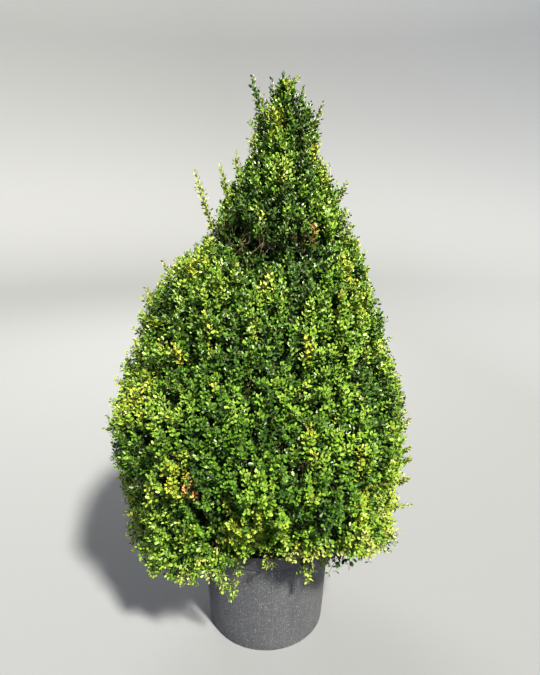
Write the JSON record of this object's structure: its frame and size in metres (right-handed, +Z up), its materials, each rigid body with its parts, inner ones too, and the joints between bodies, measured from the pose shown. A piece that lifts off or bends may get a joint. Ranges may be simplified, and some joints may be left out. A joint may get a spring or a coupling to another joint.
{
  "type": "potted box cone shrub",
  "caption": "Evergreen box shrub grown as a loose cone round one leader, standing in a round black nursery pot with a lip and collar.",
  "frame": {"origin": "middle of the pot's flat underside", "axes": "+Z up, the side shown to the front faces -Y, +X to the right of that view"},
  "size_m": [1.0481, 0.9429, 1.855],
  "materials": {
    "pot": "matt black moulded plastic, sun-greyed, with fine upright streaks and light specks",
    "soil": "dark brown crumbly potting soil",
    "bark": "pale grey-brown bark with fine upright fissures",
    "foliage": "small glossy evergreen leaves, dark green with yellow-green young tips"
  },
  "bodies": {
    "root": {"pot": "pot", "soil": "soil", "trunk": "bark", "bough_skirt_1": "bark", "bough_skirt_2": "bark", "bough_skirt_3": "bark", "bough_skirt_4": "bark", "bough_skirt_5": "bark", "bough_skirt_6": "bark", "bough_body_1": "bark", "bough_body_2": "bark", "bough_body_3": "bark", "bough_body_4": "bark", "bough_body_5": "bark", "bough_body_6": "bark", "bough_shoulder_1": "bark", "bough_shoulder_2": "bark", "bough_shoulder_3": "bark", "bough_shoulder_4": "bark", "bough_spire_1": "bark", "bough_spire_2": "bark", "bough_spire_3": "bark", "foliage_skirt_1": "foliage", "foliage_skirt_2": "foliage", "foliage_skirt_3": "foliage", "foliage_skirt_4": "foliage", "foliage_skirt_5": "foliage", "foliage_skirt_6": "foliage", "foliage_body_1": "foliage", "foliage_body_2": "foliage", "foliage_body_3": "foliage", "foliage_body_4": "foliage", "foliage_body_5": "foliage", "foliage_body_6": "foliage", "foliage_shoulder_1": "foliage", "foliage_shoulder_2": "foliage", "foliage_shoulder_3": "foliage", "foliage_shoulder_4": "foliage", "foliage_spire_1": "foliage", "foliage_spire_2": "foliage", "foliage_spire_3": "foliage", "foliage_tip": "foliage"}
  },
  "joints": []
}
